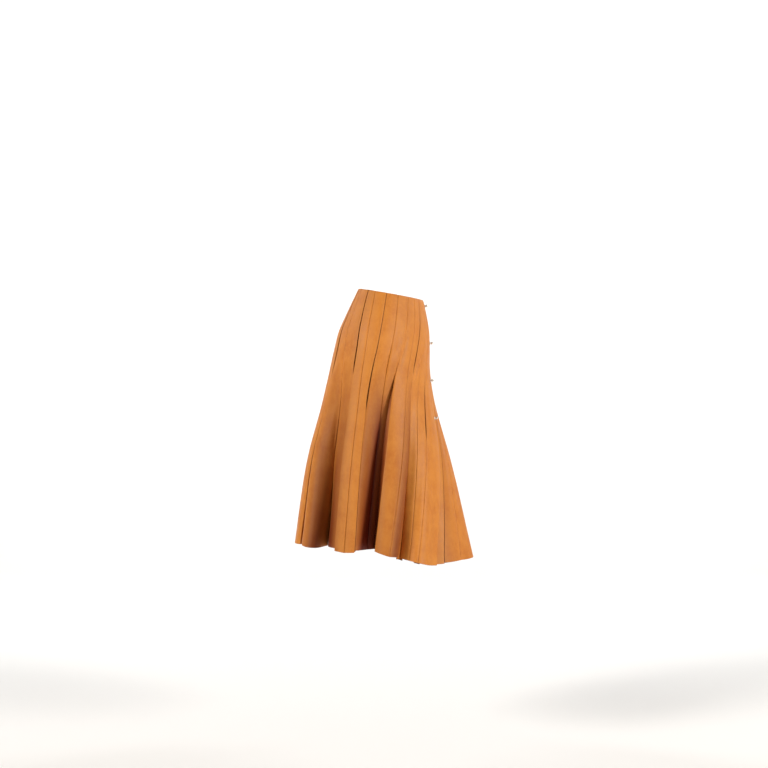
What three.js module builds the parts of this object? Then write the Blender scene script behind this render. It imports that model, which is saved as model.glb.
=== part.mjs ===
// A pleated leather skirt in its worn form: thirteen pressed panels of two gores each round the
// body, a folded underlay behind every slit, and a wrapped front closed by ball studs.
// Millimetres, +Z up. The wearer faces -Y and the wearer's right hand is at -X. The origin is the
// centre of the waist opening. Angles run from the back (0) by the wearer's right side (90) and
// the front (180) to the left side (270).
import * as THREE from 'three';

// ---------- Driving sizes ----------
const leatherThickness = 1.2;
const seamGap = 0.3;
const slitGap = 0.6;
const layerStep = 1.9;        // from one pressed layer to the next, centre to centre
const foldBack = 11;          // how far a pressed underlay lies behind each panel
const waistTilt = 0.17;       // rise of the waist edge for each millimetre towards the back
const hemLength = 628;        // mean length from waist level to hem
const hemTilt = 17;           // how much lower the hem hangs in front, and higher at the back
const hipHeight = -120;
const thighHeight = -270;
const releaseHeight = -165;   // the pleats are stitched down above this height
const releasePower = 1.2;

// Form of the body that the panels lie on, from above the waist down to below the hem.
const sectionColumns = ['height', 'halfWidth', 'halfDepth', 'backShift'];
const sectionRows = [
  [30, 114.0, 69.5, -5.0],
  [0, 126.0, 79.5, -0.5],
  [-52, 148.7, 97.2, 6.3],
  [-91, 162.2, 108.8, 11.8],
  [-130, 170.0, 114.2, 16.1],
  [-185, 174.0, 121.2, 21.7],
  [-271, 184.2, 139.4, 23.7],
  [-394, 203.1, 172.5, 23.0],
  [-517, 225.5, 195.0, 18.0],
  [-660, 247.0, 220.0, 11.0],
];

// One row for each line down a panel: its angle at four levels, how far it stands out from the
// body's form at the hem (negative is in), and how far below the mean hem it ends.
const lineColumns = ['waist', 'hip', 'thigh', 'hem', 'out', 'drop'];
const panelRows = {
  panel_01: [
    [34.0, 38.2, 34.8, 31.0, -2, -7],
    [48.0, 54.1, 54.3, 34.6, -69, -5],
    [66.5, 73.5, 71.5, 61.9, -40, -13],
  ],
  panel_02: [
    [66.5, 73.5, 71.8, 64.1, -22, -10],
    [81.6, 85.2, 81.8, 72.1, -24, -9],
    [101.6, 99.6, 90.3, 79.4, -30, -12],
  ],
  panel_03: [
    [101.6, 99.6, 91.0, 80.6, -38, -17],
    [121.0, 116.2, 104.0, 83.0, -90, -15],
    [139.0, 130.3, 114.2, 89.0, -104, -17],
  ],
  panel_04: [
    [139.0, 130.3, 115.0, 93.0, -45, -19],
    [152.0, 143.0, 130.0, 104.8, -30, -11],
    [165.0, 152.5, 137.0, 112.5, -47, -10],
  ],
  panel_05: [
    [165.0, 152.5, 137.5, 116.2, -70, -6],
    [176.0, 164.7, 146.0, 121.8, -48, -3],
    [186.0, 176.0, 155.0, 127.0, -33, 0],
  ],
  panel_06: [
    [206.0, 197.0, 186.0, 156.4, -39, 3],
    [214.0, 207.0, 196.0, 171.6, -20, 0],
    [224.0, 216.0, 207.0, 187.5, 2, 0],
  ],
  panel_07: [
    [224.0, 216.0, 208.0, 191.0, -6, 0],
    [233.0, 227.0, 217.5, 200.5, 2, 0],
    [244.0, 238.0, 228.0, 210.0, -8, -2],
  ],
  panel_08: [
    [244.0, 238.0, 231.0, 217.0, -52, -8],
    [256.5, 251.0, 243.0, 228.0, -28, -6],
    [269.0, 263.0, 255.0, 239.0, -10, -3],
  ],
  panel_09: [
    [269.0, 263.0, 256.0, 243.0, -18, -5],
    [281.0, 277.0, 269.0, 254.0, -34, -9],
    [293.0, 290.0, 281.0, 264.0, -65, -12],
  ],
  panel_10: [
    [293.0, 290.0, 284.0, 272.0, -60, -10],
    [307.0, 306.0, 298.0, 283.0, -16, -6],
    [321.0, 321.0, 312.0, 294.0, -5, -4],
  ],
  panel_11: [
    [321.0, 321.0, 314.0, 299.0, -12, -6],
    [334.0, 333.0, 325.0, 309.0, -44, -9],
    [346.0, 345.0, 336.0, 319.0, -80, -12],
  ],
  panel_12: [
    [346.0, 345.0, 340.0, 330.0, -72, -9],
    [358.0, 357.0, 351.0, 340.0, -22, -4],
    [370.0, 371.0, 364.0, 350.0, -10, -2],
  ],
  panel_13: [
    [370.0, 371.0, 367.0, 360.0, -45, -5],
    [382.0, 385.0, 381.0, 372.5, 6, -3],
    [394.0, 398.2, 394.0, 384.0, -4, -5],
  ],
};

// How far the middle of each gore swells out of its lines at the hem: outwards, and round the
// body in degrees. A gore that isn't named lies straight between its lines.
const swellColumns = ['out', 'swing'];
const swellRows = {
  panel_01: [[20, 11], [0, 0]],
};

// How much further in a panel's three lines lie where the pleats are half open.
const earlyRows = {
  panel_01: [0, 14, 0],
};

// The wrapped front: the edge panel lies over the under panel, and its studs run down its edge.
const edgePanelRows = [
  [186.0, 176.0, 155.3, 127.6, -32, 0],
  [193.0, 184.0, 168.0, 136.2, -34, 5],
  [200.0, 192.0, 180.0, 146.0, -38, 7],
];
const underPanelRows = [
  [195.0, 186.5, 172.0, 140.0, -55, 6],
  [200.5, 192.5, 180.5, 148.0, -56, 7],
  [206.0, 197.0, 186.0, 156.2, -40, 5],
];

const tables = { ...panelRows, edge_panel: edgePanelRows, under_panel: underPanelRows };

// Order of the panels round the body, with the depth of the underlay's valley behind each slit.
const slitColumns = ['before', 'after', 'depth'];
const slitRows = [
  ['panel_01', 'panel_02', 34],
  ['panel_02', 'panel_03', 10],
  ['panel_03', 'panel_04', 22],
  ['panel_04', 'panel_05', 12],
  ['panel_05', 'edge_panel', 20],
  ['panel_06', 'panel_07', 16],
  ['panel_07', 'panel_08', 24],
  ['panel_08', 'panel_09', 26],
  ['panel_09', 'panel_10', 12],
  ['panel_10', 'panel_11', 30],
  ['panel_11', 'panel_12', 8],
  ['panel_12', 'panel_13', 28],
  ['panel_13', 'panel_01', 26],
];

// Ball studs down the edge panel.
const studHeights = [-27, -119, -211, -303];
const studAngles = [196.0, 188.0, 182.0, 174.6];
const studBallRadius = 3.4;
const studNeckRadius = 1.5;
const studNeckLength = 1.1;
const studCollarRadius = 4.2;
const studCollarHeight = 0.9;
const studSides = 16;
const studBallSteps = 6;
const studSeatGap = 0.4;

// How the walls are divided.
const levels = [0, 0.055, 0.115, 0.185, 0.26, 0.35, 0.45, 0.57, 0.7, 0.85, 1];
const stepsPerGore = 3;

const leatherColor = '#c8833f';
const foldColor = '#a9622c';
const studColor = '#c9c6bd';

// ---------- Lines down the skirt ----------
const radians = (degrees) => (degrees * Math.PI) / 180;
const mix = (a, b, share) => a + (b - a) * share;

function named(columns, row) {
  return Object.fromEntries(columns.map((column, index) => [column, row[index]]));
}

const sections = sectionRows.map((row) => named(sectionColumns, row));

// The body's half width, half depth and shift at a height, by a smooth curve through the table.
function sectionAt(height) {
  const last = sections.length - 1;
  let upper = 0;
  while (upper < last - 1 && sections[upper + 1].height > height) upper += 1;
  const rows = [upper - 1, upper, upper + 1, upper + 2].map(
    (index) => sections[Math.min(Math.max(index, 0), last)]);
  const span = rows[2].height - rows[1].height;
  const share = (height - rows[1].height) / span;
  const slopeBetween = (a, b, column) =>
    (a === b ? 0 : (b[column] - a[column]) / (b.height - a.height));
  const result = {};
  for (const column of sectionColumns.slice(1)) {
    const slopeIn = slopeBetween(rows[0], rows[2], column) * span;
    const slopeOut = slopeBetween(rows[1], rows[3], column) * span;
    const square = share * share;
    const cube = square * share;
    result[column] = rows[1][column] * (2 * cube - 3 * square + 1)
      + slopeIn * (cube - 2 * square + share)
      + rows[2][column] * (3 * square - 2 * cube)
      + slopeOut * (cube - square);
  }
  return result;
}

// A line's angle at a height: straight stretches between the four levels it is named at.
function angleAt(line, height) {
  if (height > hipHeight) return mix(line.waist, line.hip, height / hipHeight);
  if (height > thighHeight) {
    return mix(line.hip, line.thigh, (height - hipHeight) / (thighHeight - hipHeight));
  }
  return mix(line.thigh, line.hem, (height - thighHeight) / (-hemLength - thighHeight));
}

// How far the pleats have opened at a height: 0 where they are stitched down, 1 at the hem.
function opened(height) {
  const share = (height - releaseHeight) / (-hemLength - releaseHeight);
  return Math.min(Math.max(share, 0), 1) ** releasePower;
}

// A point at an angle and height, a distance out from the body's form.
function pointOn(angle, height, out) {
  const body = sectionAt(height);
  const x = -body.halfWidth * Math.sin(radians(angle));
  const y = body.halfDepth * Math.cos(radians(angle));
  const grow = 1 + out / Math.hypot(x, y);
  return new THREE.Vector3(x * grow, y * grow + body.backShift, height);
}

// The height of a line at a level: 0 is the tilted waist edge and 1 the hem.
function heightAt(line, level) {
  const waistY = sectionAt(0).halfDepth * Math.cos(radians(line.waist));
  const top = waistTilt * waistY;
  const bottom = -hemLength + hemTilt * Math.cos(radians(line.hem)) - line.drop;
  return mix(top, bottom, level);
}

function blendLines(a, b, share) {
  return Object.fromEntries(Object.keys(a).map((column) => [column, mix(a[column], b[column], share)]));
}

// The lines across a panel, from its first edge to its last, with some between the named ones.
function linesAcross(panelName, steps) {
  const ends = tables[panelName].map((row) => named(lineColumns, row));
  const swells = (swellRows[panelName] ?? []).map((row) => named(swellColumns, row));
  const early = earlyRows[panelName] ?? [0, 0, 0];
  ends.forEach((line, index) => { line.early = early[index]; });
  const lines = [];
  for (let index = 0; index < ends.length - 1; index += 1) {
    for (let step = 0; step < steps; step += 1) {
      const share = step / steps;
      const line = blendLines(ends[index], ends[index + 1], share);
      const swell = swells[index] ?? { out: 0, swing: 0 };
      const height = 4 * share * (1 - share);
      line.out += swell.out * height;
      line.hem += swell.swing * height;
      lines.push(line);
    }
  }
  lines.push(ends[ends.length - 1]);
  return lines;
}

function pointOnLine(line, level, inward = 0) {
  const height = heightAt(line, level);
  const open = opened(height);
  const out = line.out * open - line.early * 4 * open * (1 - open);
  return pointOn(angleAt(line, height), height, out - inward);
}

// ---------- Walls ----------
// The two sides of a wall along a row of points, and its ends drawn in by the given gaps.
function wallRow(points, gapBefore, gapAfter, ends) {
  const count = points.length;
  const directions = [];
  for (let index = 0; index < count - 1; index += 1) {
    directions.push(points[index + 1].clone().sub(points[index]).setZ(0).normalize());
  }
  const outer = [];
  const inner = [];
  points.forEach((point, index) => {
    const before = index > 0 ? directions[index - 1] : ends?.before ?? directions[0];
    const after = index < count - 1 ? directions[index] : ends?.after ?? directions[count - 2];
    const along = before.clone().add(after).normalize();
    const normal = new THREE.Vector3(along.y, -along.x, 0);
    const reach = (leatherThickness / 2) / Math.max(along.dot(before), 0.5);
    const shift = index === 0 ? gapBefore : index === count - 1 ? -gapAfter : 0;
    const place = point.clone().addScaledVector(along, shift);
    outer.push(place.clone().addScaledVector(normal, reach));
    inner.push(place.clone().addScaledVector(normal, -reach));
  });
  return { outer, inner };
}

// A closed wall through rows of outer and inner points.
function wallGeometry(rows) {
  const ring = rows[0].outer.length;
  const perRow = ring * 2;
  const positions = [];
  const triangles = [];
  for (const row of rows) {
    for (const point of [...row.outer, ...row.inner.slice().reverse()]) {
      positions.push(point.x, point.y, point.z);
    }
  }
  const quad = (a, b, c, d) => triangles.push(a, b, c, a, c, d);
  // The inner side is cut along the same diagonals as the outer, so that the wall stays as thick.
  for (let row = 0; row < rows.length - 1; row += 1) {
    for (let side = 0; side < perRow; side += 1) {
      const next = (side + 1) % perRow;
      const base = row * perRow;
      const corners = [base + side, base + perRow + side, base + perRow + next, base + next];
      if (side >= ring) corners.unshift(corners.pop());
      quad(...corners);
    }
  }
  const last = (rows.length - 1) * perRow;
  for (let step = 0; step < ring - 1; step += 1) {
    const back = perRow - 1 - step;
    quad(step, step + 1, back - 1, back);
    quad(last + back, last + back - 1, last + step + 1, last + step);
  }
  const geometry = new THREE.BufferGeometry();
  geometry.setAttribute('position', new THREE.Float32BufferAttribute(positions, 3));
  geometry.setIndex(triangles);
  geometry.computeVertexNormals();
  return geometry;
}

function leather(color) {
  return new THREE.MeshStandardMaterial({ color, roughness: 0.55, metalness: 0 });
}

function namedMesh(name, geometry, material) {
  const mesh = new THREE.Mesh(geometry, material);
  mesh.name = name;
  return mesh;
}

// ---------- Pieces ----------
// A panel's two gores, with their shared seam mitred so that the two walls stay a gap apart.
function gores(name) {
  const lines = linesAcross(name, stepsPerGore);
  const seam = stepsPerGore;
  const first = [];
  const second = [];
  for (const level of levels) {
    const points = lines.map((line) => pointOnLine(line, level));
    const direction = (a, b) => points[b].clone().sub(points[a]).setZ(0).normalize();
    const beforeSeam = direction(seam - 1, seam);
    const afterSeam = direction(seam, seam + 1);
    first.push(wallRow(points.slice(0, seam + 1), slitGap / 2, seamGap / 2, { after: afterSeam }));
    second.push(wallRow(points.slice(seam), seamGap / 2, slitGap / 2, { before: beforeSeam }));
  }
  return [
    namedMesh(`${name}_gore_a`, wallGeometry(first), leather(leatherColor)),
    namedMesh(`${name}_gore_b`, wallGeometry(second), leather(leatherColor)),
  ];
}

// A plain panel in one piece, each of its named lines some layers behind the outside.
function panel(name, layers, color, gapBefore, gapAfter) {
  const steps = stepsPerGore - 1;
  const lines = linesAcross(name, steps);
  const walls = levels.map((level) => {
    const points = lines.map((line, index) => {
      const place = index / steps;
      const from = Math.min(Math.floor(place), layers.length - 2);
      const layer = mix(layers[from], layers[from + 1], place - from);
      return pointOnLine(line, level, layer * layerStep);
    });
    return wallRow(points, gapBefore, gapAfter);
  });
  return namedMesh(name, wallGeometry(walls), leather(color));
}

// The place a distance along a row of points, and another distance to the side that is inside.
function placeBehind(points, distance, inside, insideSign) {
  let left = distance;
  let index = 0;
  while (index < points.length - 2 && left > points[index].distanceTo(points[index + 1])) {
    left -= points[index].distanceTo(points[index + 1]);
    index += 1;
  }
  const along = points[index + 1].clone().sub(points[index]).setZ(0).normalize();
  const outward = new THREE.Vector3(along.y, -along.x, 0).multiplyScalar(insideSign);
  return points[index].clone().addScaledVector(along, left).addScaledVector(outward, -inside);
}

// The folded leather behind a slit. Stitched down, it lies in two layers behind the panels on
// each side; from the release down it opens into a valley between their edges.
const valleyColumns = ['share', 'deep', 'layer', 'side', 'lap'];
const valleyRows = [
  [0.0, 0.0, 1, 'before', 0],
  [0.08, 0.5, 1, 'before', 1],
  [0.25, 0.93, 2, 'before', 1],
  [0.5, 1.0, 2, 'middle', 0],
  [0.75, 0.93, 2, 'after', 1],
  [0.92, 0.5, 1, 'after', 1],
  [1.0, 0.0, 1, 'after', 0],
].map((row) => named(valleyColumns, row));

function underlay(name, panelBefore, panelAfter, depth) {
  const beforeLines = linesAcross(panelBefore, stepsPerGore).reverse();
  const afterLines = linesAcross(panelAfter, stepsPerGore);
  const walls = levels.map((level) => {
    const before = beforeLines.map((line) => pointOnLine(line, level));
    const after = afterLines.map((line) => pointOnLine(line, level));
    const start = placeBehind(before, 0, layerStep, -1);
    const end = placeBehind(after, 0, layerStep, 1);
    const points = valleyRows.map(({ share, deep, layer, side, lap }) => {
      const inFirst = placeBehind(before, lap * foldBack, layer * layerStep, -1);
      const inSecond = placeBehind(after, lap * foldBack, layer * layerStep, 1);
      const halfway = inFirst.clone().lerp(inSecond, 0.5);
      const pressed = { before: inFirst, after: inSecond, middle: halfway }[side];
      const free = start.clone().lerp(end, share);
      const centre = new THREE.Vector3(0, sectionAt(free.z).backShift, free.z);
      free.addScaledVector(centre.sub(free).normalize(), deep * depth);
      return pressed.lerp(free, opened(free.z));
    });
    return wallRow(points, 0, 0);
  });
  return namedMesh(name, wallGeometry(walls), leather(foldColor));
}

// The place on the edge panel's wall at a height and an angle, and the way square to it.
function seatOn(panelName, height, angle) {
  const lines = linesAcross(panelName, stepsPerGore - 1);
  const top = heightAt(lines[0], 0);
  const level = (height - top) / (heightAt(lines[0], 1) - top);
  const upper = levels.findIndex((value) => value > level) - 1;
  const share = (level - levels[upper]) / (levels[upper + 1] - levels[upper]);
  const points = lines.map((line) =>
    pointOnLine(line, levels[upper]).lerp(pointOnLine(line, levels[upper + 1]), share));
  const first = lines.findIndex((line) => angleAt(line, height) > angle) - 1;
  const ends = [lines[first], lines[first + 1]].map((line) => angleAt(line, height));
  const from = points[first];
  const to = points[first + 1];
  const along = to.clone().sub(from).setZ(0).normalize();
  const down = pointOnLine(lines[first], levels[upper + 1])
    .sub(pointOnLine(lines[first], levels[upper]));
  const axis = down.cross(along).normalize();
  const place = from.clone().lerp(to, (angle - ends[0]) / (ends[1] - ends[0]));
  return { place, axis };
}

// A ball stud seated on the edge panel, its axis square to the leather.
function stud(name, height, angle) {
  const { place, axis } = seatOn('edge_panel', height, angle);
  const neckTop = studCollarHeight + studNeckLength;
  const ballCentre = neckTop + Math.sqrt(studBallRadius ** 2 - studNeckRadius ** 2);
  const profile = [
    new THREE.Vector2(0, 0),
    new THREE.Vector2(studCollarRadius, 0),
    new THREE.Vector2(studCollarRadius, studCollarHeight / 2),
    new THREE.Vector2(studNeckRadius, studCollarHeight),
    new THREE.Vector2(studNeckRadius, neckTop),
  ];
  const startAngle = Math.asin(studNeckRadius / studBallRadius);
  for (let step = 1; step <= studBallSteps; step += 1) {
    const turn = mix(startAngle, Math.PI, step / studBallSteps);
    const radius = step === studBallSteps ? 0 : studBallRadius * Math.sin(turn);
    profile.push(new THREE.Vector2(radius, ballCentre - studBallRadius * Math.cos(turn)));
  }
  const material = new THREE.MeshStandardMaterial({ color: studColor, roughness: 0.25, metalness: 1 });
  const mesh = namedMesh(name, new THREE.LatheGeometry(profile, studSides), material);
  mesh.quaternion.setFromUnitVectors(new THREE.Vector3(0, 1, 0), axis);
  mesh.position.copy(place).addScaledVector(axis, leatherThickness / 2 + studSeatGap);
  return mesh;
}

// ---------- The whole skirt ----------
const skirt = new THREE.Group();

studHeights.forEach((height, index) => {
  skirt.add(stud(`stud_${index + 1}`, height, studAngles[index]));
});
for (const name of Object.keys(panelRows)) skirt.add(...gores(name));
skirt.add(panel('edge_panel', [0, 0, 0], leatherColor, slitGap / 2, 0));
skirt.add(panel('under_panel', [1, 1, 0], foldColor, 0, seamGap));
slitRows.map((row) => named(slitColumns, row)).forEach((slit, index) => {
  const name = `underlay_${String(index + 1).padStart(2, '0')}`;
  skirt.add(underlay(name, slit.before, slit.after, slit.depth));
});

export default skirt;
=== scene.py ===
import math
import random

import bpy
import bmesh
from mathutils import Matrix, Vector, noise


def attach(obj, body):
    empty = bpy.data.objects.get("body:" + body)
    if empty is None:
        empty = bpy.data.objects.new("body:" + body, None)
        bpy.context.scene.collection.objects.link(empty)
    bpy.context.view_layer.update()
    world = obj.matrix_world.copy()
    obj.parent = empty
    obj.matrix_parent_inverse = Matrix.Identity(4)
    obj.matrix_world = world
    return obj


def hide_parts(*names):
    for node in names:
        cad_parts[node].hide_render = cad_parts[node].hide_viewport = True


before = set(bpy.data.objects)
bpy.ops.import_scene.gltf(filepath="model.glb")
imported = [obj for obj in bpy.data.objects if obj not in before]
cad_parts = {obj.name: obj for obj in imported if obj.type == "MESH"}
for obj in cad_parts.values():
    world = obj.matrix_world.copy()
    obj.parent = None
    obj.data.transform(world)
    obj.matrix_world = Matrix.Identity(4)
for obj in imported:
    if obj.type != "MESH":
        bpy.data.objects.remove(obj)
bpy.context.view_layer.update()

mm = 0.001

# A pleated skirt of tan nappa, worn and hollow. Sizes are in millimetres and angles in degrees:
# 0 is the back, 90 the wearer's right side, 180 the front and 270 the left side.
skirtForm = {
    "leatherThickness": 1.2,
    "hemLength": 628,           # mean, from waist level to hem
    "hemTilt": 17,              # lower in front, higher at the back
    "waistTilt": 0.17,          # rise of the waist edge towards the back
    "hipHeight": -120,
    "thighHeight": -270,
    "releaseHeight": -165,      # the pleats are stitched down above this
    "releasePower": 1.2,
    "layerStep": 2.2,           # between the layers of a pressed pleat
    "foldBack": 11,             # how far a pressed underlay lies behind each panel
}

# The form that the panels lie on: height, half width, half depth, shift to the back.
bodySections = [
    (30, 114.0, 69.5, -5.0),
    (0, 126.0, 79.5, -0.5),
    (-52, 148.7, 97.2, 6.3),
    (-91, 162.2, 108.8, 11.8),
    (-130, 170.0, 114.2, 16.1),
    (-185, 174.0, 121.2, 21.7),
    (-271, 184.2, 139.4, 23.7),
    (-394, 203.1, 172.5, 23.0),
    (-517, 225.5, 195.0, 18.0),
    (-660, 247.0, 220.0, 11.0),
]

# Each panel has two gores between three lines. A line gives its angle at the waist, hip, thigh
# and hem, how far it stands out at the hem, and how far below the mean hem it ends. bulge is how
# far each gore swells out at the hem, swing how far the first one swells round the body in
# degrees, early how much further in the lines lie where the pleats are half open, the shade values
# how much painted shade darkens the leather where it lies in a fold, standing in for the shadow
# there, at each line and midway between them, and crease how deep the seam is drawn in.
panels = {
    1: {"lines": [(34.0, 38.2, 34.8, 31.0, -2, -7),
                  (48.0, 54.1, 54.3, 34.6, -69, -5),
                  (66.5, 73.5, 71.5, 61.9, -40, -13)],
        "bulge": (20, 2), "swing": 11, "early": (0, 14, 0), "paintedShadeAt": (0, 0.9, 0.35, 1.0, 0.5),
        "crease": 0.7},
    2: {"lines": [(66.5, 73.5, 71.8, 64.1, -22, -10),
                  (81.6, 85.2, 81.8, 72.1, -24, -9),
                  (101.6, 99.6, 90.3, 79.4, -30, -12)],
        "bulge": (1, 1), "paintedShadeAt": (0.4, 0.1, 0.08, 0.08, 0.1), "crease": 1.2},
    3: {"lines": [(101.6, 99.6, 90.6, 79.8, -32, -17),
                  (121.0, 116.2, 105.6, 83.0, -90, -15),
                  (139.0, 130.3, 114.2, 89.0, -104, -17)],
        "bulge": (5, 2), "early": (0, 12, 12), "paintedShadeAt": (0.4, 1.0, 1.0, 1.0, 0.9),
        "crease": 0.7},
    4: {"lines": [(139.0, 130.3, 115.0, 93.0, -45, -19),
                  (152.0, 143.0, 130.0, 104.8, -30, -11),
                  (165.0, 152.5, 137.0, 112.5, -47, -10)],
        "bulge": (5, 3), "paintedShadeAt": (0.25, 0.2, 0.3, 0.75, 0.7), "crease": 1.2},
    5: {"lines": [(165.0, 152.5, 137.5, 116.2, -70, -6),
                  (176.0, 164.7, 146.0, 121.8, -48, -3),
                  (186.0, 176.0, 157.0, 127.0, -33, 0)],
        "bulge": (2, 3), "crease": 0.5},
    6: {"lines": [(206.0, 197.0, 186.0, 156.4, -39, 3),
                  (214.0, 207.0, 196.0, 171.6, -20, 0),
                  (224.0, 216.0, 207.0, 187.5, 2, 0)],
        "bulge": (2, 3), "paintedShadeAt": (0.2, 0.1, 0, 0, 0), "crease": 0.6},
    7: {"lines": [(224.0, 216.0, 208.0, 191.0, -6, 0),
                  (233.0, 227.0, 217.5, 200.5, 2, 0),
                  (244.0, 238.0, 228.0, 210.0, -8, -2)],
        "bulge": (2, 4), "crease": 0.6},
    8: {"lines": [(244.0, 238.0, 231.0, 217.0, -52, -8),
                  (256.5, 251.0, 243.0, 228.0, -28, -6),
                  (269.0, 263.0, 255.0, 239.0, -10, -3)],
        "bulge": (2, 4), "paintedShadeAt": (0.5, 0.3, 0, 0, 0), "crease": 0.7},
    9: {"lines": [(269.0, 263.0, 256.0, 243.0, -18, -5),
                  (281.0, 277.0, 269.0, 254.0, -34, -9),
                  (293.0, 290.0, 281.0, 264.0, -65, -12)],
        "bulge": (4, 3), "paintedShadeAt": (0, 0, 0.1, 0.5, 0.7), "crease": 0.8},
    10: {"lines": [(293.0, 290.0, 284.0, 272.0, -60, -10),
                   (307.0, 306.0, 298.0, 283.0, -16, -6),
                   (321.0, 321.0, 312.0, 294.0, -5, -4)],
         "bulge": (3, 4), "paintedShadeAt": (0.6, 0.3, 0, 0, 0), "crease": 0.6},
    11: {"lines": [(321.0, 321.0, 314.0, 299.0, -12, -6),
                   (334.0, 333.0, 325.0, 309.0, -44, -9),
                   (346.0, 345.0, 336.0, 319.0, -80, -12)],
         "bulge": (6, 2), "paintedShadeAt": (0, 0, 0.2, 0.7, 0.9), "crease": 0.7},
    12: {"lines": [(346.0, 345.0, 340.0, 330.0, -72, -9),
                   (358.0, 357.0, 351.0, 340.0, -22, -4),
                   (370.0, 371.0, 364.0, 350.0, -10, -2)],
         "bulge": (3, 5), "paintedShadeAt": (0.8, 0.4, 0, 0, 0), "crease": 0.7},
    13: {"lines": [(370.0, 371.0, 367.0, 360.0, -45, -5),
                   (382.0, 385.0, 381.0, 372.5, 6, -3),
                   (394.0, 398.2, 394.0, 384.0, -4, -5)],
         "bulge": (3, 4), "paintedShadeAt": (0.3, 0.2, 0, 0, 0), "crease": 0.7},
    "edge": {"lines": [(186.0, 176.0, 157.1, 127.2, -32, 0),
                       (193.0, 184.0, 168.0, 136.2, -34, 5),
                       (200.0, 192.0, 180.0, 146.0, -38, 7)],
             "bulge": (3, 1), "layers": (0, 0, 0)},
    "under": {"lines": [(195.0, 186.5, 172.0, 140.0, -55, 6),
                        (200.5, 192.5, 180.5, 148.0, -56, 7),
                        (206.0, 197.0, 186.0, 156.2, -40, 5)],
              "bulge": (0, 1), "layers": (1, 1, 0)},
}

# Slits between panels: the panel before, the one after, the valley's depth at the hem, the
# height where the stitching ends, how far each edge gapes at the four levels, and how far the
# folded leather hangs below the panels.
slitColumns = ("before", "after", "depth", "stitchEnd", "gape", "hang")
slits = [dict(zip(slitColumns, row)) for row in [
    (1, 2, 34, -165, (2.6, 3.2, 3.6, 0.4), 0),
    (2, 3, 10, -250, (1.6, 2.0, 3.4, 1.2), 0),
    (3, 4, 22, -160, (0.3, 0.5, 0.8, 0.4), 0),
    (4, 5, 12, -170, (1.0, 3.4, 2.4, 0.3), 5),
    (5, "edge", 20, -325, (0.2, 0.6, 3.6, 2.6), 2),
    (6, 7, 16, -180, (0.4, 1.2, 1.2, 0.3), 0),
    (7, 8, 24, -190, (0.9, 2.4, 1.0, 0.3), 0),
    (8, 9, 26, -170, (0.3, 1.6, 2.6, 0.4), 2),
    (9, 10, 12, -230, (1.4, 2.6, 3.2, 0.3), 0),
    (10, 11, 30, -175, (0.6, 0.9, 2.2, 0.4), 3),
    (11, 12, 8, -185, (1.6, 3.0, 1.8, 0.3), 0),
    (12, 13, 28, -200, (0.5, 1.8, 3.0, 0.4), 2),
    (13, 1, 12, -170, (5.0, 7.0, 4.4, 0.3), 0),
]]


# Lines down the skirt.
def mix(a, b, share):
    return a + (b - a) * share


def clamp(value, low=0.0, high=1.0):
    return max(low, min(high, value))


def smooth(share):
    share = clamp(share)
    return share * share * (3 - 2 * share)


def curveThrough(xs, ys, x):  # a smooth curve through a short table, either way up
    last = len(xs) - 1
    k = 0
    while k < last - 1 and (xs[k + 1] - x) * (xs[-1] - xs[0]) < 0:
        k += 1
    span = xs[k + 1] - xs[k]
    t = (x - xs[k]) / span
    before, after = max(k - 1, 0), min(k + 2, last)
    slopeIn = (ys[k + 1] - ys[before]) / (xs[k + 1] - xs[before]) * span
    slopeOut = (ys[after] - ys[k]) / (xs[after] - xs[k]) * span
    return ((2 * t ** 3 - 3 * t ** 2 + 1) * ys[k] + (t ** 3 - 2 * t ** 2 + t) * slopeIn
            + (3 * t ** 2 - 2 * t ** 3) * ys[k + 1] + (t ** 3 - t ** 2) * slopeOut)


sectionHeights = [row[0] for row in bodySections]
sectionColumns = list(zip(*[row[1:] for row in bodySections]))
lineHeights = (0, skirtForm["hipHeight"], skirtForm["thighHeight"], -skirtForm["hemLength"])
linePlaces = (0, 1, 2)      # a panel's three lines, as places across it
atHem, standsOut = 3, 4     # columns of a line


def bodyAt(height):  # half width, half depth and shift to the back
    return [curveThrough(sectionHeights, column, height) for column in sectionColumns]


def angleAt(line, height):
    return curveThrough(lineHeights, line[:4], height)


def opened(height):  # 0 where the pleats are stitched down, 1 at the hem
    release = skirtForm["releaseHeight"]
    share = (height - release) / (-skirtForm["hemLength"] - release)
    return clamp(share) ** skirtForm["releasePower"]


waistHalfDepth = bodyAt(0)[1]


def heightAt(line, level):  # level 0 is the waist edge and 1 the hem
    waistAngle, _, _, hemAngle, _, drop = line
    top = skirtForm["waistTilt"] * waistHalfDepth * math.cos(math.radians(waistAngle))
    tilt = skirtForm["hemTilt"] * math.cos(math.radians(hemAngle))
    return mix(top, tilt - skirtForm["hemLength"] - drop, level)


def isWhole(name):  # one sheet of leather, without a middle seam
    return "layers" in panels[name]


def isSeam(name, gore, side):
    return not isWhole(name) and side != gore


def lineAcross(name, across):  # across runs from 0 by the middle seam at 1 to 2
    lines = panels[name]["lines"]
    if isWhole(name):
        return [curveThrough(linePlaces, column, across) for column in zip(*lines)]
    gore = 0 if across < 1 else 1
    return [mix(a, b, across - gore) for a, b in zip(lines[gore], lines[gore + 1])]


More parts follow.
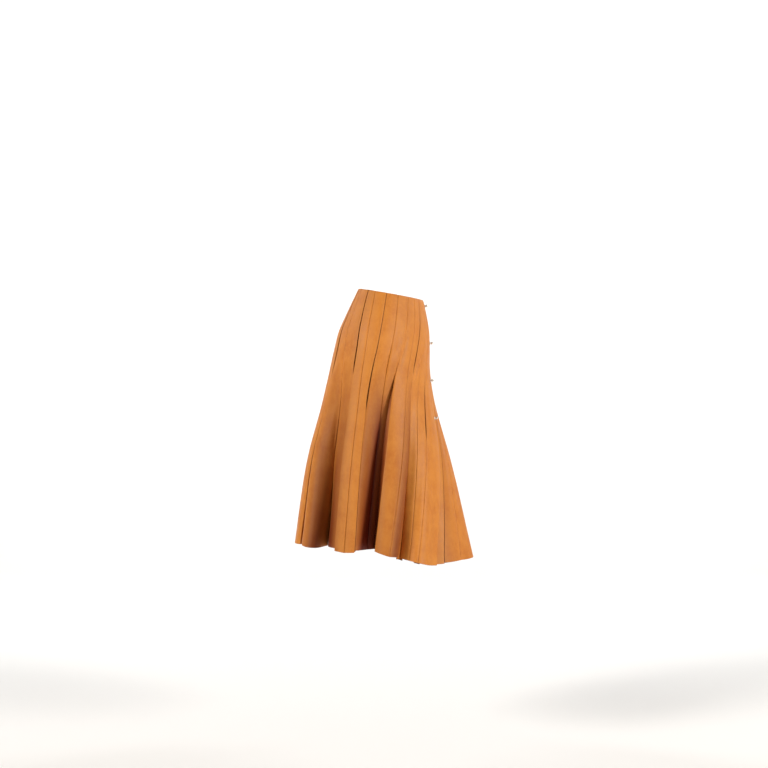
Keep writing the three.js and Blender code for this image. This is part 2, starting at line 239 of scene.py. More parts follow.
def plainPoint(name, across, level):  # on the leather's middle, without any creasing
    form = panels[name]
    line = lineAcross(name, across)
    share = across % 1 if across < 2 else 0
    swell = 4 * share * (1 - share)
    if across < 1:
        line[atHem] += form.get("swing", 0) * swell
    height = heightAt(line, level)
    share = opened(height)
    out = (line[standsOut] + form["bulge"][0 if across < 1 else 1] * swell) * share
    early = curveThrough(linePlaces, form.get("early", (0, 0, 0)), across)
    out -= early * 4 * share * (1 - share)
    if isWhole(name):
        out -= curveThrough(linePlaces, form["layers"], across) * skirtForm["layerStep"]
    angle = math.radians(angleAt(line, height))
    halfWidth, halfDepth, shift = bodyAt(height)
    x, y = -halfWidth * math.sin(angle), halfDepth * math.cos(angle)
    grow = 1 + out / math.hypot(x, y)
    return Vector((x * grow, y * grow + shift, height))


def outward(before, after):  # level, and square to the way from before to after
    along = after - before
    return Vector((along.y, -along.x, 0)).normalized()


def goreWidth(name, gore, level):
    end = gore + 0.999   # just short of the next gore
    return (plainPoint(name, end, level) - plainPoint(name, gore, level)).length


# How the leather lies.
drape = {
    # Soft unevenness, and the share of it left where the pleats are pressed.
    "wide": 55, "tall": 240, "depth": 1.9,
    "fineWide": 19, "fineTall": 100, "fineDepth": 0.65,
    "seed": 7.3, "pressedShare": 0.3,
    # A pressed edge rolls in towards its slit, unevenly down the skirt.
    "slitRoll": 1.3, "slitReach": 4.2,
    "rollLeast": 0.85, "rollVaries": 0.3, "rollTall": 45, "rollSeed": 3.1,
    "openRoll": 0.5, "openMark": 0.3,   # share of the roll and of the dark edge left below
    "creaseFade": 45,                   # a crease runs out over this way at its ends
    "slitClose": 45,                    # a slit closes over this way below its stitching
    "seamReach": 3.0,                   # a seam is drawn in over this width
    "waistRoll": 0.9, "waistReach": 4.0,
    "stitchIn": 6.0, "stitchGroove": 0.3, "stitchReach": 1.4,
}

# Creases placed one by one: panel, place across at the top and bottom end, from and to height,
# depth and width.
creases = [
    (1, 0.45, 0.45, -230, -640, 1.8, 11), (1, 1.5, 1.58, -150, -420, 1.0, 8),
    (2, 0.42, 0.36, -360, -640, 0.9, 7), (2, 1.55, 1.67, -250, -520, 0.8, 6),
    (3, 0.98, 0.98, -118, -222, 2.2, 3.2), (3, 1.4, 1.45, -70, -150, 1.0, 5),
    (3, 1.68, 1.56, -40, -120, 0.8, 4), (3, 0.5, 0.6, -260, -620, 1.5, 9),
    (4, 0.25, 0.21, -80, -230, 1.1, 6), (4, 1.35, 1.42, -190, -420, 1.3, 8),
    (4, 0.7, 0.7, -430, -640, 1.2, 10), (5, 0.35, 0.43, -230, -500, 1.4, 8),
    (5, 1.4, 1.34, -300, -600, 1.4, 8), (6, 0.6, 0.72, -260, -560, 1.3, 9),
    (6, 1.5, 1.4, -380, -640, 1.2, 9), (7, 0.45, 0.5, -180, -520, 1.5, 10),
    (7, 1.6, 1.48, -300, -640, 1.1, 8), (8, 0.5, 0.6, -170, -480, 1.3, 9),
    (8, 1.4, 1.36, -350, -640, 1.2, 9), (9, 0.4, 0.47, -260, -600, 1.3, 8),
    (9, 1.3, 1.3, -120, -300, 1.0, 6), (10, 0.6, 0.68, -330, -640, 1.5, 10),
    (10, 1.5, 1.44, -200, -480, 1.1, 8), (11, 0.5, 0.62, -220, -600, 1.6, 9),
    (11, 1.6, 1.5, -90, -240, 1.0, 5), (12, 0.7, 0.75, -300, -640, 1.4, 9),
    (12, 1.4, 1.28, -180, -430, 1.0, 7), (13, 0.4, 0.5, -240, -560, 1.5, 9),
    (13, 1.5, 1.46, -360, -640, 1.3, 10), ("edge", 0.45, 0.52, -210, -480, 1.7, 10),
    ("edge", 1.4, 1.4, -120, -330, 0.9, 7), ("edge", 0.8, 0.88, -400, -640, 1.3, 9),
    (5, 0.85, 0.2, -132, -222, 3.2, 3.2), (4, 0.35, 0.12, -96, -190, 1.5, 4.5),
    (3, 1.75, 1.3, -100, -170, 1.3, 4.5), (4, 1.2, 1.5, -60, -150, 0.9, 6),
    (2, 1.2, 1.35, -70, -190, 0.8, 7), (1, 1.35, 1.2, -60, -170, 0.9, 7),
    ("edge", 0.3, 0.15, -150, -250, 1.2, 5), (1, 0.93, 0.89, -130, -400, 3.0, 7),
]


def unevenness(point):
    def wave(wide, tall, seed):
        across, down = drape[wide], drape[tall]
        return noise.noise(Vector((point.x / across, point.y / across, point.z / down + seed)))
    soft = drape["depth"] * wave("wide", "tall", drape["seed"])
    fine = drape["fineDepth"] * wave("fineWide", "fineTall", -drape["seed"])
    return (soft + fine) * mix(drape["pressedShare"], 1.0, opened(point.z))


def creasing(name, across, height, width):
    total = 0.0
    for panel, topPlace, bottomPlace, top, bottom, depth, reach in creases:
        if panel == name and bottom < height < top:
            place = mix(topPlace, bottomPlace, (top - height) / (top - bottom))
            away = (across - place) * width / reach
            fade = min(drape["creaseFade"], (top - bottom) / 2)
            ends = smooth((top - height) / fade) * smooth((height - bottom) / fade)
            total += depth * ends * math.exp(-away * away)
    return total


def slitBeside(name, side):
    for slit in slits:
        if slit["before" if side else "after"] == name:
            return slit
    return None


def stitchedAt(slit, height):  # 1 where the stitching holds, fading to 0 below it
    return smooth(1 + (height - slit["stitchEnd"]) / drape["slitClose"]) if slit else 1.0


def slitGape(slit, height):
    if slit is None:
        return 0.0
    gape = curveThrough(lineHeights, slit["gape"], clamp(height, lineHeights[-1], 0))
    return max(gape, 0.0) * stitchedAt(slit, height)


def edgeDetail(name, gore, height, before, after):  # how far in, this far from the gore's edges
    inward = 0.0
    for side, distance in ((0, before), (1, after)):
        slit = slitBeside(name, side)
        if isSeam(name, gore, side):
            inward += panels[name]["crease"] * clamp(1 - distance / drape["seamReach"]) ** 2
        elif slit is not None:
            varied = Vector((slit["depth"], height / drape["rollTall"], drape["rollSeed"]))
            lively = drape["rollLeast"] + drape["rollVaries"] * noise.noise(varied)
            lively *= mix(drape["openRoll"], 1, stitchedAt(slit, height))
            inward += drape["slitRoll"] * lively * clamp(1 - distance / drape["slitReach"]) ** 2
            if height > slit["stitchEnd"]:
                away = (distance - drape["stitchIn"]) / drape["stitchReach"]
                inward += drape["stitchGroove"] * math.exp(-away * away)
    return inward


def waistDetail(down):  # the turned edge at the waist
    return drape["waistRoll"] * clamp(1 - down / drape["waistReach"]) ** 2


# Meshes.
leatherLook = {
    # The darkest brown is painted shade, mixed in where the leather lies deep in a fold.
    "tan": "#c2782c", "warmTan": "#b36622", "paleTan": "#cb8438", "cutEdge": "#5c2a10",
    "paintedShadeTan": "#96491a", "paintedShadeBrown": "#611c04", "thread": "#b97a3e",
    # Per metre: patches of about 40 mm and 8 mm, pebbles of 1.6 mm, coarser than a real 0.6 mm
    # so that they show, and fine lines pulled down the skirt.
    "mottle": 26, "fineMottle": 130, "grain": 620, "pull": (150.0, 150.0, 9.0),
    "mottleDetail": 3.0, "mottleRoughness": 0.55, "fineDetail": 2.0,
    "patchFrom": 0.35, "patchTo": 0.68, "patchShare": 0.85,
    "speckFrom": 0.4, "speckTo": 0.7, "speckShare": 0.4,
    "grainBump": 0.35, "grainHeight": 0.0002, "pullBump": 0.3, "pullHeight": 0.0006,   # metres
    "paintedShadeFrom": (5, 56), "paintedShadeTo": (15, 50),   # painted shade: mm in, where the folds are pressed and open
    # How far the painted shade darkens the deepest folds.
    "paintedShadeMost": 0.85,
    "lineGrows": 3.0, "middleGrows": 0.6,      # how soon the painted shade grows down the skirt
    "roughFrom": 0.3, "roughTo": 0.7, "roughness": (0.5, 0.64),   # of the fine noise
    "ior": 1.5, "specular": 0.3,
}

fineNearEdges = (0.0, 0.45, 1.0, 1.8, 3.0, 4.4, 6.0, 7.8)
fineNearEnds = (0.0, 0.5, 1.2, 2.4, 4.2)


def spread(length, before, after, fine, between):  # places along a length, closer near its ends
    first = [before + d for d in fine]
    last = [length - after - d for d in reversed(fine)]
    step = (last[0] - first[-1]) / (between + 1)
    return first + [first[-1] + step * (k + 1) for k in range(between)] + last


def linkMesh(name, bm):
    for face in bm.faces:
        face.smooth = True
    mesh = bpy.data.meshes.new(name)
    bm.to_mesh(mesh)
    bm.free()
    piece = bpy.data.objects.new(name, mesh)
    bpy.context.scene.collection.objects.link(piece)
    return piece


def paintedShadeByDepth(point):  # 0 on the outside to 1 deep in a fold: how much painted shade darkens the leather there
    halfWidth, halfDepth, shift = bodyAt(point.z)
    radius = math.hypot(point.x, point.y - shift)
    away = math.hypot(point.x / halfWidth, (point.y - shift) / halfDepth)
    share = opened(point.z)
    depth = radius / away - radius - mix(*leatherLook["paintedShadeFrom"], share)
    return leatherLook["paintedShadeMost"] * smooth(depth / mix(*leatherLook["paintedShadeTo"], share))


def paintedShadeByLines(name, across, height):  # painted shade, darker towards the lines and middles that lie in a fold
    tones = panels[name].get("paintedShadeAt")
    if tones is None:
        return 0.0
    share = opened(height)
    atLine = smooth(share * leatherLook["lineGrows"])
    atMiddle = share ** leatherLook["middleGrows"]
    grown = [tone * (atMiddle if k % 2 else atLine) for k, tone in enumerate(tones)]
    return clamp(curveThrough((0, 0.5, 1, 1.5, 2), grown, across))


# A grid laid over rows of places, from the top down. The form may also give each place's painted
# shade, how many columns are turned in at each side, and how dark each row's turned edges are.
def sheetPiece(name, form, tone):
    places, shades, marks = form["places"], form.get("shades"), form.get("marks")
    turned = form.get("turned", (0, 0))
    rows, columns = len(places), len(places[0])
    firstCut, lastCut = max(turned[0] - 1, 0), columns - 1 - max(turned[1] - 1, 0)
    bm = bmesh.new()
    edge = bm.verts.layers.float.new("edge")
    hide = bm.verts.layers.float.new("hide")
    paintedShade = bm.verts.layers.float.new("paintedShade")
    bmesh.ops.create_grid(bm, x_segments=columns - 1, y_segments=rows - 1, size=1)
    for vert in bm.verts:
        column = round((vert.co.x + 1) / 2 * (columns - 1))
        row = round((1 - vert.co.y) / 2 * (rows - 1))
        vert[edge] = 1.0 if row in (0, rows - 1) else 0.0
        if column <= firstCut or column >= lastCut:
            vert[edge] = marks[row][0 if column <= firstCut else 1] if marks else 1.0
        vert[hide] = tone
        # Painted shade: how far the leather is darkened where it lies in a fold.
        vert[paintedShade] = paintedShadeByDepth(places[row][column])
        if shades:
            vert[paintedShade] = max(vert[paintedShade], shades[row][column])
        vert.co = places[row][column] * mm
    return linkMesh(name, bm)


rimForm = {"steps": 2, "angle": 55}   # only the corners of a wall are sharper than this


def thicken(piece, thickness, rim):
    wall = piece.modifiers.new("wall", "SOLIDIFY")
    wall.thickness = thickness * mm
    wall.offset = 0
    if rim:
        soft = piece.modifiers.new("rim", "BEVEL")
        soft.width = rim * mm
        soft.segments = rimForm["steps"]
        soft.limit_method = "ANGLE"
        soft.angle_limit = math.radians(rimForm["angle"])
        soft.harden_normals = True


def wayAlong(row):
    return sum((b - a).length for a, b in zip(row, row[1:]))


# Panels.
panelForm = {
    "slitGap": 0.3, "seamGap": 0.72,          # from the line between two sheets to each edge
    "rowsBetween": 118, "columnsBetween": 6,
    "widthSteps": 6,                          # steps across by which a width is measured
    "aside": 0.02,                            # share across by which a direction is found
    # How an edge is turned in: steps inwards, a seam's allowance and a slit's fold.
    "seamTurn": (0.55, 1.6, 3.4), "slitTurn": (0.6, 1.7, 3.0),
}


def edgeGap(name, gore, side, height):
    if isSeam(name, gore, side):
        return panelForm["seamGap"]
    return panelForm["slitGap"] + slitGape(slitBeside(name, side), height) / 2


def panelPlaces(name, gore):
    start, reach = (0, 2) if isWhole(name) else (gore, 1)
    length = (plainPoint(name, start, 1) - plainPoint(name, start, 0)).length
    placed, shades, marks = [], [], []
    for down in spread(length, 0, 0, fineNearEnds, panelForm["rowsBetween"]):
        level = down / length
        steps = panelForm["widthSteps"]
        probes = [plainPoint(name, start + reach * k / steps, level) for k in range(steps + 1)]
        width, height = wayAlong(probes), probes[steps // 2].z
        gapBefore, gapAfter = edgeGap(name, gore, 0, height), edgeGap(name, gore, 1, height)
        distances = spread(width, gapBefore, gapAfter, fineNearEdges,
                           panelForm["columnsBetween"] * reach)
        points = [plainPoint(name, start + reach * d / width, level) for d in distances]
        row = []
        for k, point in enumerate(points):
            normal = outward(points[max(k - 1, 0)], points[min(k + 1, len(points) - 1)])
            inward = edgeDetail(name, gore, point.z, distances[k], width - distances[k])
            across = start + reach * distances[k] / width
            inward += creasing(name, across, point.z, width / reach)
            row.append(point + normal * (unevenness(point) - inward - waistDetail(down)))
        ends, mark = [[], []], [1.0, 1.0]
        for side in (0, 1):
            slit = slitBeside(name, side)
            if isSeam(name, gore, side):
                aside, turn = panelForm["aside"] * 2, panelForm["seamTurn"]
                near = plainPoint(name, 1 - aside, level), plainPoint(name, 1 + aside, level)
            elif isWhole(name) and slit is None:
                continue
            else:
                turn = panelForm["slitTurn"]
                near = (points[0], points[1]) if side == 0 else (points[-2], points[-1])
                mark[side] = mix(drape["openMark"], 1, stitchedAt(slit, height))
            normal = outward(*near)
            ends[side] = [row[-side] - normal * step for step in turn]
        # Painted shade along the row, darker where the panel lies in a fold.
        tones = [paintedShadeByLines(name, start + reach * distance / width, height)
                 for distance in distances]
        placed.append(ends[0][::-1] + row + ends[1])
        shades.append(tones[:1] * len(ends[0]) + tones + tones[-1:] * len(ends[1]))
        marks.append(mark)
    turned = len(ends[0]), len(ends[1])
    return {"places": placed, "shades": shades, "turned": turned, "marks": marks}


# A place on a panel, this far from the slit at one of its sides.
def besideSlit(name, side, distance, level, lift):
    width = goreWidth(name, side, level)
    across = mix(distance, 2 * width - distance, side) / width
    aside = panelForm["aside"]
    point = plainPoint(name, across, level)
    normal = outward(plainPoint(name, across - aside, level),
                     plainPoint(name, across + aside, level))
    edges = (distance, width - distance) if side == 0 else (width - distance, distance)
    inward = edgeDetail(name, side, point.z, *edges) + creasing(name, across, point.z, width)
    down = level * skirtForm["hemLength"]
    return point + normal * (lift + unevenness(point) - inward - waistDetail(down))


# Folded leather behind the slits.
# Share of the way, depth in the open valley, layer behind the panels, side, share of the lap.
valley = [
    (0.00, 0.00, 1.0, "before", 0.0), (0.10, 0.55, 1.0, "before", 0.5),
    (0.20, 0.82, 1.0, "before", 1.0), (0.25, 0.90, 1.5, "before", 1.11),
    (0.30, 0.95, 2.0, "before", 1.0), (0.50, 1.00, 2.05, "middle", 0.0),
    (0.70, 0.95, 2.0, "after", 1.0), (0.75, 0.90, 1.5, "after", 1.11),
    (0.80, 0.82, 1.0, "after", 1.0), (0.90, 0.55, 1.0, "after", 0.5),
    (1.00, 0.00, 1.0, "after", 0.0),
]
halfShares = (0.0, 0.03, 0.06, 0.1, 0.14, 0.175, 0.2, 0.215, 0.23, 0.245, 0.26, 0.275, 0.29,
              0.31, 0.35, 0.4, 0.45)
underlayForm = {
    "rows": 90, "fineRows": (0, 0.003),   # level of the rows close to the waist and the hem
    "tuck": 3.6,                          # how far behind a panel's edge it starts
}


def behindPanel(slit, side, lap, layer, level):
    distance = mix(underlayForm["tuck"], skirtForm["foldBack"], lap)
    lift = -layer * skirtForm["layerStep"]
    return besideSlit(slit[side], 1 if side == "before" else 0, distance, level, lift)


def underlayPlaces(slit):
    shares = list(halfShares) + [0.5] + [1 - share for share in reversed(halfShares)]
    keys = [row[0] for row in valley]
    placed = []
    bottom = 1 + slit["hang"] / skirtForm["hemLength"]
    for level in spread(bottom, 0, 0, underlayForm["fineRows"], underlayForm["rows"]):
        start = behindPanel(slit, "before", 0, 1, level)
        end = behindPanel(slit, "after", 0, 1, level)
        points = []
        for share, deep, layer, side, lap in valley:
            if side == "middle":
                pressed = (behindPanel(slit, "before", 0, layer, level)
                           + behindPanel(slit, "after", 0, layer, level)) / 2
            else:
                pressed = behindPanel(slit, side, lap, layer, level)
            free = start.lerp(end, share)
            inwards = Vector((0, bodyAt(free.z)[2], free.z)) - free
            free += inwards.normalized() * deep * slit["depth"]
            points.append(pressed.lerp(free, opened(free.z)))
        placed.append([Vector([curveThrough(keys, column, share) for column in zip(*points)])
                       for share in shares])
    return placed


# Studs, slits for them and stitching.
studForm = {
    "places": [(-27, 196.0), (-119, 188.0), (-211, 182.0), (-303, 174.6)],  # height and angle
    "seatGap": 0.4,
    "ballRadius": 3.4, "ballCentre": 5.05, "neckRadius": 1.5,
    # Radius and height of the collar and neck, from the leather outwards.
    "collar": [(0, 0), (4.2, 0), (4.38, 0.22), (4.25, 0.55), (3.6, 0.82), (2.3, 0.95),
               (1.62, 1.25), (1.5, 1.5), (1.5, 1.9)],
    "ballSteps": 16, "sides": 40, "mergeWithin": 0.001,
    "halvings": 24, "probeDown": 0.01, "probeAside": 2,   # how its place and direction are found
}
# The cut that a stud is pushed through, pointed at both ends.
studSlitForm = {
    "length": 9.0, "width": 1.3, "below": 1, "lift": 0.05, "thickness": 0.06,
    "rows": 13, "columns": 3, "pointed": (0.06, 0.97), "fullness": 0.7,
}
stitchForm = {
    "length": 3.2, "pitch": 4.3, "radius": 0.34, "start": 9, "lift": 0.62, "sides": 6, "rings": 4,
}


def edgePlace(height, angle, lift):  # on the edge panel, and the way square to it
    low, high = 0.0, 2.0
    for _ in range(studForm["halvings"]):
        across = (low + high) / 2
        if angleAt(lineAcross("edge", across), height) < angle:
            low = across
        else:
            high = across
    line = lineAcross("edge", across)
    top, bottom = heightAt(line, 0), heightAt(line, 1)
    level = (height - top) / (bottom - top)
    distance = (2 - across) * goreWidth("edge", 1, level)
    place = besideSlit("edge", 1, distance, level, lift)
    below = besideSlit("edge", 1, distance, level + studForm["probeDown"], lift)
    beside = besideSlit("edge", 1, distance - studForm["probeAside"], level, lift)
    normal = (below - place).cross(beside - place).normalized()
    return place, normal


def turnedTo(way):  # turns a shape made along Z to point this way
    return way.to_track_quat("Z", "Y").to_matrix().to_4x4()


def studPiece(name, height, angle):
    seat = skirtForm["leatherThickness"] / 2 + studForm["seatGap"]
    place, normal = edgePlace(height, angle, seat)
    radius, centre = studForm["ballRadius"], studForm["ballCentre"]
    start = math.asin(studForm["neckRadius"] / radius)
    profile = list(studForm["collar"])
    for step in range(studForm["ballSteps"] + 1):
        turn = mix(start, math.pi, step / studForm["ballSteps"])
        profile.append((radius * math.sin(turn), centre - radius * math.cos(turn)))
    bm = bmesh.new()
    verts = [bm.verts.new((r * mm, 0, z * mm)) for r, z in profile]
    edges = [bm.edges.new(pair) for pair in zip(verts, verts[1:])]
    bmesh.ops.spin(bm, geom=verts + edges, cent=(0, 0, 0), axis=(0, 0, 1), angle=math.tau,
                   steps=studForm["sides"], use_merge=True)
    bmesh.ops.remove_doubles(bm, verts=bm.verts, dist=studForm["mergeWithin"] * mm)
    bmesh.ops.recalc_face_normals(bm, faces=bm.faces)
    matrix = Matrix.Translation(place * mm) @ turnedTo(normal)
    bmesh.ops.transform(bm, matrix=matrix, verts=bm.verts)
    return linkMesh(name, bm)


# A dark sheet for a stud's slit: its cut faces and painted shadow inside.
def studSlitPiece(name, height, angle):
    form = studSlitForm
    lift = skirtForm["leatherThickness"] / 2 + form["lift"]
    places = []
    for row in range(form["rows"]):
        share = row / (form["rows"] - 1)
        middle, normal = edgePlace(height - form["below"] - form["length"] * share, angle, lift)
        side = Vector((-normal.y, normal.x, 0)).normalized()
        fullness = math.sin(math.pi * mix(*form["pointed"], share)) ** form["fullness"]
        half = form["width"] / 2 * fullness
        places.append([middle + side * half * (k - 1) for k in range(form["columns"])])
    piece = sheetPiece(name, {"places": places}, 0)
    thicken(piece, form["thickness"], 0)
    return piece


def stitchLine(bm, name, side, bottom):
    length = skirtForm["hemLength"]
    down = stitchForm["start"]
    while down < -bottom:
        ends = [besideSlit(name, side, drape["stitchIn"], (down + part) / length,
                           stitchForm["lift"]) for part in (0, stitchForm["length"])]
        middle, along = (ends[0] + ends[1]) / 2, ends[1] - ends[0]
        shape = Matrix.Diagonal((stitchForm["radius"], stitchForm["radius"], along.length / 2, 1))
        bmesh.ops.create_uvsphere(bm, u_segments=stitchForm["sides"],
                                  v_segments=stitchForm["rings"], radius=mm,
                                  matrix=Matrix.Translation(middle * mm) @ turnedTo(along) @ shape)
        down += stitchForm["pitch"]


# Materials.
def linear(hexColor):
    channels = [int(hexColor[k:k + 2], 16) / 255 for k in (1, 3, 5)]
    return [c / 12.92 if c <= 0.04045 else ((c + 0.055) / 1.055) ** 2.4 for c in channels] + [1.0]


def newMaterial(name):
    material = bpy.data.materials.new(name)
    material.use_nodes = True
    material.node_tree.nodes.clear()
    return material


def addNode(material, kind, sockets=(), links=(), **settings):
    tree = material.node_tree
    node = tree.nodes.new(kind)
    for key, value in settings.items():
        setattr(node, key, value)
    for key, value in dict(sockets).items():
        node.inputs[key].default_value = value
    for key, source in dict(links).items():
        tree.links.new(source, node.inputs[key])
    return node


def colorMix(material, share, first, second):  # inputs 6 and 7 are the mix node's colours
    sockets, links = {7: linear(second)}, {0: share}
    if isinstance(first, str):
        sockets[6] = linear(first)
    else:
        links[6] = first
    return addNode(material, "ShaderNodeMix", sockets, links, data_type="RGBA").outputs[2]


def leatherMaterial(name, base, warm, pale):
    look = leatherLook
    material = newMaterial(name)
    place = addNode(material, "ShaderNodeTexCoord").outputs["Object"]
    mottle = addNode(material, "ShaderNodeTexNoise",
                     {"Scale": look["mottle"], "Detail": look["mottleDetail"],
                      "Roughness": look["mottleRoughness"]}, {"Vector": place}).outputs["Fac"]
    fine = addNode(material, "ShaderNodeTexNoise",
                   {"Scale": look["fineMottle"], "Detail": look["fineDetail"]},
                   {"Vector": place}).outputs["Fac"]
    pulled = addNode(material, "ShaderNodeMapping", {"Scale": look["pull"]}, {"Vector": place})
    pull = addNode(material, "ShaderNodeTexNoise", {"Scale": 1.0, "Detail": look["fineDetail"]},
                   {"Vector": pulled.outputs["Vector"]}).outputs["Fac"]
    grain = addNode(material, "ShaderNodeTexVoronoi", {"Scale": look["grain"]}, {"Vector": place},
                    feature="SMOOTH_F1").outputs["Distance"]
    hide, edge, paintedShade = [addNode(material, "ShaderNodeAttribute", attribute_name=key).outputs["Fac"]
                        for key in ("hide", "edge", "paintedShade")]
    patch = addNode(material, "ShaderNodeMapRange",
                    {"From Min": look["patchFrom"], "From Max": look["patchTo"],
                     "To Max": look["patchShare"]}, {"Value": mottle}).outputs["Result"]
    speck = addNode(material, "ShaderNodeMapRange",
                    {"From Min": look["speckFrom"], "From Max": look["speckTo"],
                     "To Max": look["speckShare"]}, {"Value": fine}).outputs["Result"]
    # The painted shade attribute mixes in the darkest brown where the leather lies in a fold.
    color = base
    for share, other in ((patch, warm), (speck, pale), (hide, pale), (paintedShade, look["paintedShadeBrown"]),
                         (edge, look["cutEdge"])):
        color = colorMix(material, share, color, other)
    low, high = look["roughness"]
    rough = addNode(material, "ShaderNodeMapRange",
                    {"From Min": look["roughFrom"], "From Max": look["roughTo"],
                     "To Min": low, "To Max": high}, {"Value": fine}).outputs["Result"]
    pebbles = addNode(material, "ShaderNodeBump",
                      {"Strength": look["grainBump"], "Distance": look["grainHeight"]},
                      {"Height": grain})
    lines = addNode(material, "ShaderNodeBump",
                    {"Strength": look["pullBump"], "Distance": look["pullHeight"]},
                    {"Height": pull, "Normal": pebbles.outputs["Normal"]})
    shader = addNode(material, "ShaderNodeBsdfPrincipled",
                     {"IOR": look["ior"], "Specular IOR Level": look["specular"]},
                     {"Base Color": color, "Roughness": rough, "Normal": lines.outputs["Normal"]})
    addNode(material, "ShaderNodeOutputMaterial", (), {"Surface": shader.outputs["BSDF"]})
    return material


# Of the other materials: specks per metre, and the least and most share of their roughness.
plainLook = {"uneven": 900.0, "detail": 2.0, "least": 0.85, "most": 1.15}


def plainMaterial(name, hexColor, metallic, roughness, ior):
    material = newMaterial(name)
    place = addNode(material, "ShaderNodeTexCoord").outputs["Object"]
    uneven = addNode(material, "ShaderNodeTexNoise",
                     {"Scale": plainLook["uneven"], "Detail": plainLook["detail"]},
                     {"Vector": place}).outputs["Fac"]
    rough = addNode(material, "ShaderNodeMapRange",
                    {"To Min": roughness * plainLook["least"],
                     "To Max": roughness * plainLook["most"]}, {"Value": uneven}).outputs["Result"]
    shader = addNode(material, "ShaderNodeBsdfPrincipled",
                     {"Base Color": linear(hexColor), "Metallic": metallic, "IOR": ior},
                     {"Roughness": rough})
    addNode(material, "ShaderNodeOutputMaterial", (), {"Surface": shader.outputs["BSDF"]})
    return material


# Lamb nappa, chrome tanned, drum dyed and lightly finished: smooth with a low satin shine.
nappa = leatherMaterial("Nappa leather, chrome tanned, dyed tan",
                        leatherLook["tan"], leatherLook["warmTan"], leatherLook["paleTan"])
# A darker copy of the same hide for the leather folded in behind the panels: painted shade, for
# the shadow there.
paintedShadeNappa = leatherMaterial("Nappa leather, dyed tan, darkened as painted shade",
                              leatherLook["warmTan"], leatherLook["paintedShadeTan"], leatherLook["tan"])
# Bonded polyester sewing thread, dyed to match.
thread = plainMaterial("Polyester sewing thread, dyed tan", leatherLook["thread"], 0.0, 0.6, 1.5)
# Turned brass, nickel plated and polished.
nickel = plainMaterial("Brass, nickel plated, polished", "#e4dfd4", 1.0, 0.34, 1.5)
# A dark sheet laid on the leather at a slit pierced in it: its cut faces and painted shadow
# inside.
slitPaintedShadow = plainMaterial("Nappa leather, pierced slit, painted shadow", "#3a1c0c", 0.0, 0.85, 1.45)


# The pieces.
def declare(piece, material, node):
    piece.data.materials.append(material)
    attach(piece, "root")
    if node:
        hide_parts(node)


random.seed(41)
# How pale a panel may be, how far its gores differ from it, and how pale the other pieces are.
hideTone = {"panel": 0.3, "gore": 0.06, "wrap": 0.16, "underlay": 0.1}
panelRim = 0.3   # mm, the rounding of a panel's edges


def clothPiece(name, form, material, tone, rim):
    piece = sheetPiece(f"{name}_leather", form, tone)
    thicken(piece, skirtForm["leatherThickness"], rim)
    declare(piece, material, name)


panelNumbers = [name for name in panels if not isWhole(name)]
for number in panelNumbers:
    tone = random.uniform(0.0, hideTone["panel"])
    for gore in (0, 1):
        goreTone = clamp(tone + random.uniform(-hideTone["gore"], hideTone["gore"]))
        clothPiece(f"panel_{number:02d}_gore_{'ab'[gore]}", panelPlaces(number, gore), nappa,
                   goreTone, panelRim)
print("panels done")

for name, slotName in (("edge", "leather"), ("under", "leather_fold")):
    clothPiece(f"{name}_panel", panelPlaces(name, 0), nappa, hideTone["wrap"],
               panelRim)
print("wrapped front done")

for index, slit in enumerate(slits):
    clothPiece(f"underlay_{index + 1:02d}", {"places": underlayPlaces(slit)}, paintedShadeNappa,
               hideTone["underlay"], 0)
print("underlays done")

for name in panels:
    bm = bmesh.new()
    for side in (0, 1):
        slit = slitBeside(name, side)
        if slit:
            stitchLine(bm, name, side, slit["stitchEnd"])
    if len(bm.verts):
        label = f"panel_{name:02d}" if name in panelNumbers else f"{name}_panel"
        declare(linkMesh(f"{label}_stitches", bm), thread, None)
    else:
        bm.free()
print("stitches done")

for index, (height, angle) in enumerate(studForm["places"]):
    stud = f"stud_{index + 1}"
    declare(studPiece(f"{stud}_turned", height, angle), nickel, stud)
    declare(studSlitPiece(f"{stud}_slit", height, angle), slitPaintedShadow, None)
print("studs done")


# Floor, lights and camera, in metres.
studio = {
    "floorHeight": -1.11, "half": 5.0, "back": 3.2, "bend": 1.6, "wall": 4.5, "bendSteps": 24,
    "floorColor": "#f3f3f2",
    "cameraTurn": -80.0, "cameraAway": 3.6, "cameraAside": -0.0123, "cameraHeight": -0.2195,
    "lens": 68.5,
    "world": 0.05,
    "aimHeight": -0.3, "backdropAimHeight": 0.4,
    # Name, forward, to the right, up, width, watts and colour, seen from the camera.
    "lamps": [
        ("right key", -1.85, 2.85, 0.7, 1.0, 112, "#fffaf4"),
        ("left key", -1.95, -2.6, 1.3, 1.0, 110, "#fffaf4"),
        ("backdrop left", 1.4, -2.6, 1.6, 1.6, 90, "#ffffff"),
        ("backdrop right", 1.4, 2.6, 1.6, 1.6, 90, "#ffffff"),
    ],
}
turn = math.radians(studio["cameraTurn"])
ahead = Vector((-math.sin(turn), math.cos(turn), 0))
right = Vector((math.cos(turn), math.sin(turn), 0))


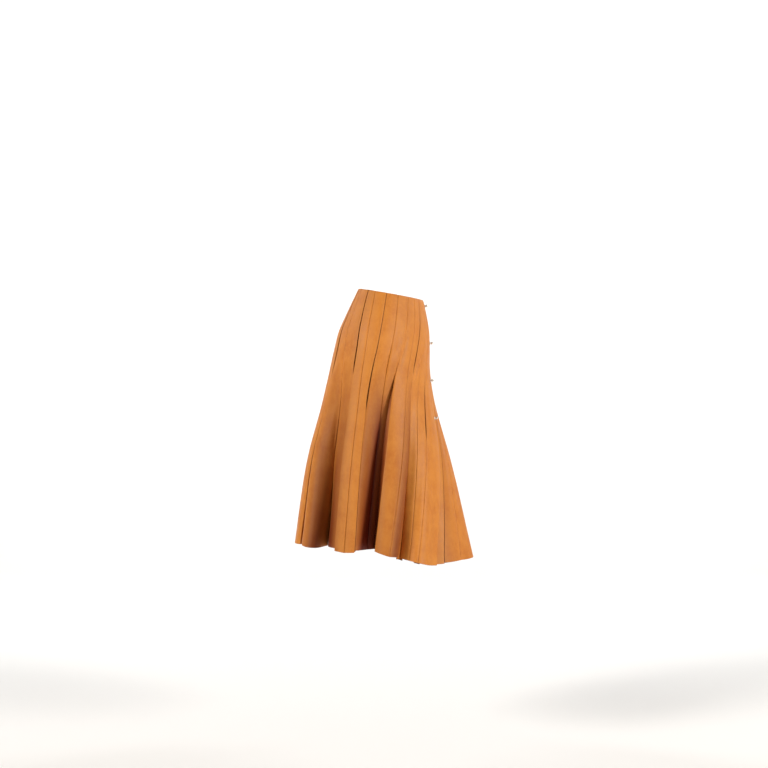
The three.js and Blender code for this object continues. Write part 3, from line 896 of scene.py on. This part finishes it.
def fromCamera(forward, aside, up):
    return ahead * forward + right * aside + Vector((0, 0, up))


def floorPiece():  # a floor that bends up into a wall
    back, bend, steps = studio["back"], studio["bend"], studio["bendSteps"]
    profile = [(-back * 2, 0.0), (back, 0.0)]
    for step in range(1, steps + 1):
        angle = math.pi / 2 * step / steps
        profile.append((back + bend * math.sin(angle), bend * (1 - math.cos(angle))))
    profile.append((back + bend, studio["wall"]))
    bm = bmesh.new()
    bmesh.ops.create_grid(bm, x_segments=1, y_segments=len(profile) - 1, size=1)
    for vert in bm.verts:
        forward, up = profile[round((vert.co.y + 1) / 2 * (len(profile) - 1))]
        vert.co = fromCamera(forward, vert.co.x * studio["half"], up + studio["floorHeight"])
    return linkMesh("studio_floor", bm)


floor = floorPiece()
# Painted board, matt near-white.
board = plainMaterial("Painted board, matt near-white", studio["floorColor"], 0.0, 0.9, 1.45)
floor.data.materials.append(board)

scene = bpy.context.scene
world = bpy.data.worlds.new("studio")
scene.world = world
world.use_nodes = True
background = world.node_tree.nodes["Background"]
background.inputs["Color"].default_value = (1, 1, 1, 1)
background.inputs["Strength"].default_value = studio["world"]
aim = Vector((0, 0, studio["aimHeight"]))
backdropAim = fromCamera(studio["back"] + studio["bend"], 0, studio["backdropAimHeight"])
for name, forward, aside, up, width, watts, color in studio["lamps"]:
    lamp = bpy.data.lights.new(name, "AREA")
    lamp.shape = "DISK"
    lamp.size = width
    lamp.energy = watts
    lamp.color = linear(color)[:3]
    holder = bpy.data.objects.new(name, lamp)
    holder.location = fromCamera(forward, aside, up)
    target = backdropAim if "backdrop" in name else aim
    holder.rotation_euler = (target - holder.location).to_track_quat("-Z", "Y").to_euler()
    scene.collection.objects.link(holder)

camera = bpy.data.cameras.new("camera")
camera.lens = studio["lens"]
holder = bpy.data.objects.new("camera", camera)
holder.location = fromCamera(-studio["cameraAway"], studio["cameraAside"], studio["cameraHeight"])
holder.rotation_euler = (math.pi / 2, 0, turn)
scene.collection.objects.link(holder)
scene.camera = holder
scene.view_settings.view_transform = "Standard"
print("studio done")
